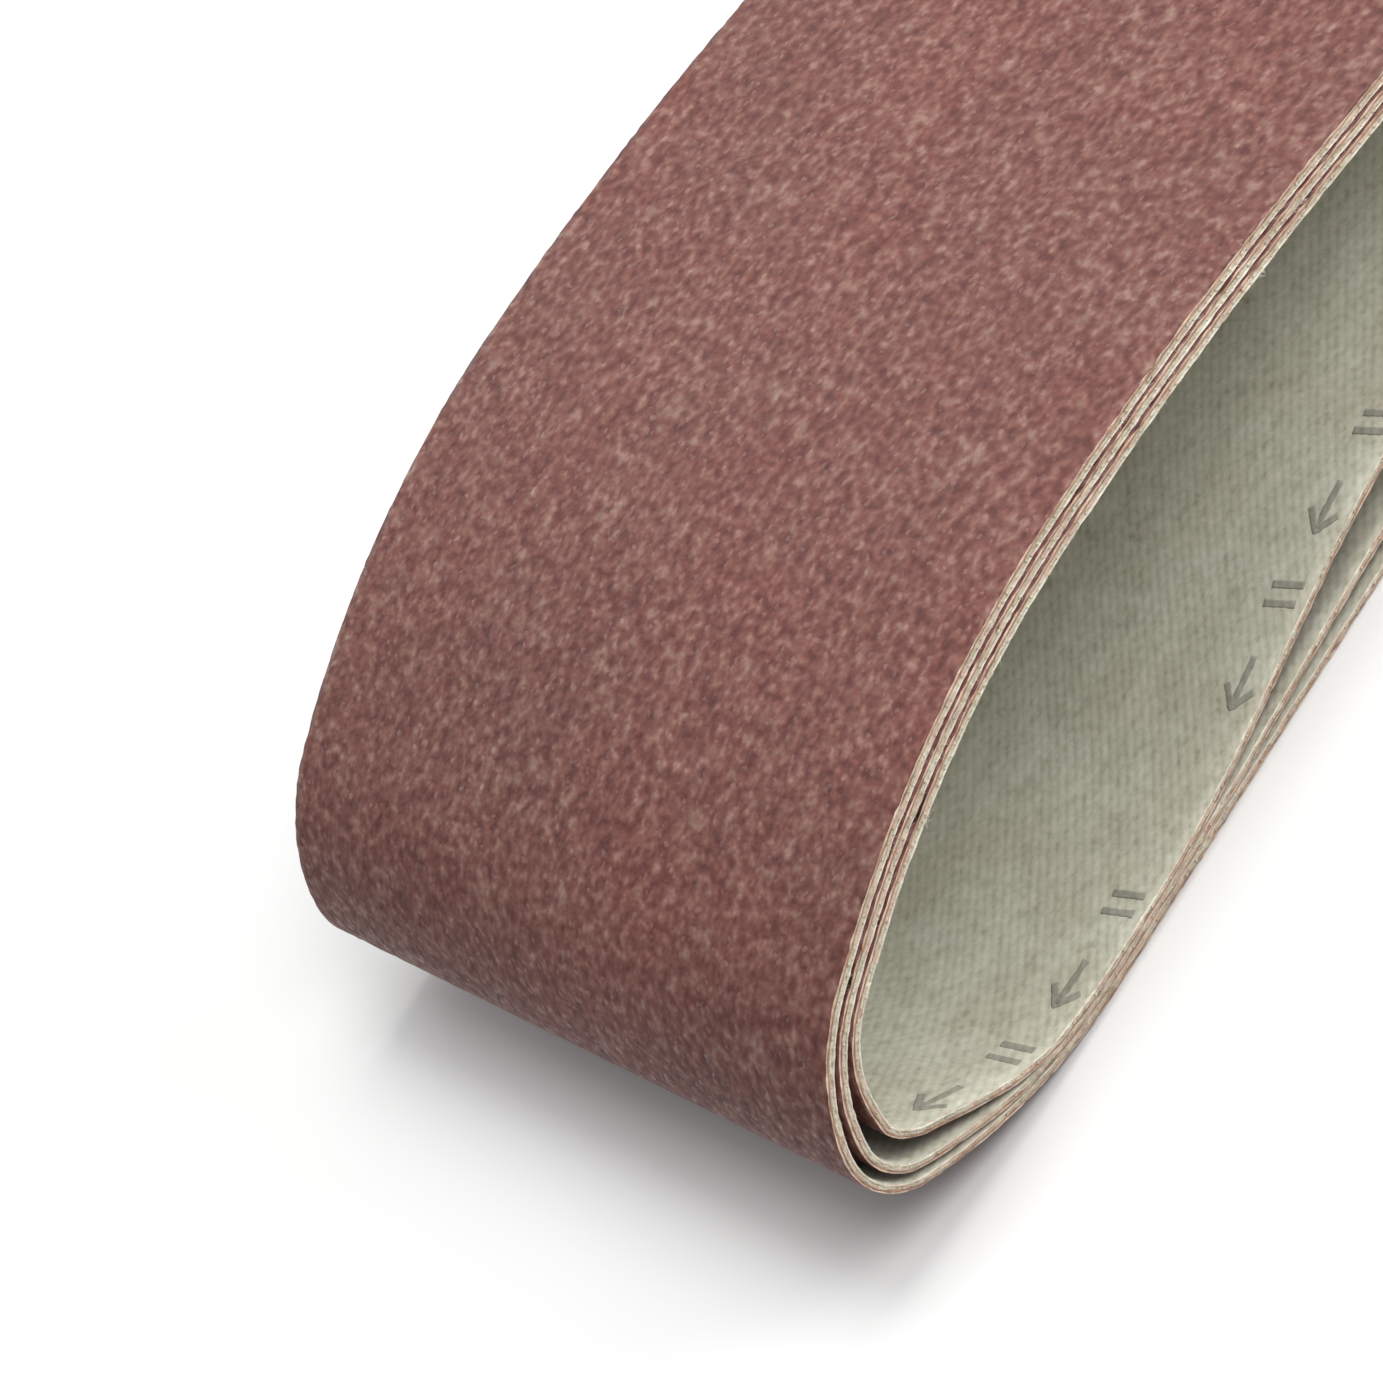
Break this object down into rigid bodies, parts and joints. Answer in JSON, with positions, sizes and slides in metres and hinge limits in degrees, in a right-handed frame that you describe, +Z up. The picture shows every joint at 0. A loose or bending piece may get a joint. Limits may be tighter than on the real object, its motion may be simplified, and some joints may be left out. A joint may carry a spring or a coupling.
{
  "type": "nested sanding belts",
  "caption": "Pack of endless cloth-backed sanding belts nested one inside another and lying flat as a long low loop.",
  "frame": {"origin": "under the middle of the pack, on the surface that it lies on", "axes": "+X along the loops, +Y across the belts' width, +Z up"},
  "size_m": [0.2548, 0.0756, 0.0336],
  "materials": {
    "cloth": "matte",
    "make_resin": "satin",
    "abrasive": "matte",
    "tape_film": "satin",
    "splice_glue": "satin"
  },
  "bodies": {
    "outer_belt": {"outer_backing": "cloth", "outer_make_coat": "make_resin", "outer_grain_coat": "abrasive", "outer_splice_tape": "tape_film", "outer_splice_glue": "splice_glue"},
    "middle_belt": {"middle_backing": "cloth", "middle_make_coat": "make_resin", "middle_grain_coat": "abrasive", "middle_splice_tape": "tape_film", "middle_splice_glue": "splice_glue"},
    "inner_belt": {"inner_backing": "cloth", "inner_make_coat": "make_resin", "inner_grain_coat": "abrasive", "inner_splice_tape": "tape_film", "inner_splice_glue": "splice_glue"}
  },
  "joints": [
    {"name": "middle_belt_slide", "type": "slide", "parent": "outer_belt", "child": "middle_belt", "axis": [0, -1, 0], "range_m": [-0.078, 0.078]},
    {"name": "inner_belt_slide", "type": "slide", "parent": "middle_belt", "child": "inner_belt", "axis": [0, -1, 0], "range_m": [-0.078, 0.078]}
  ]
}
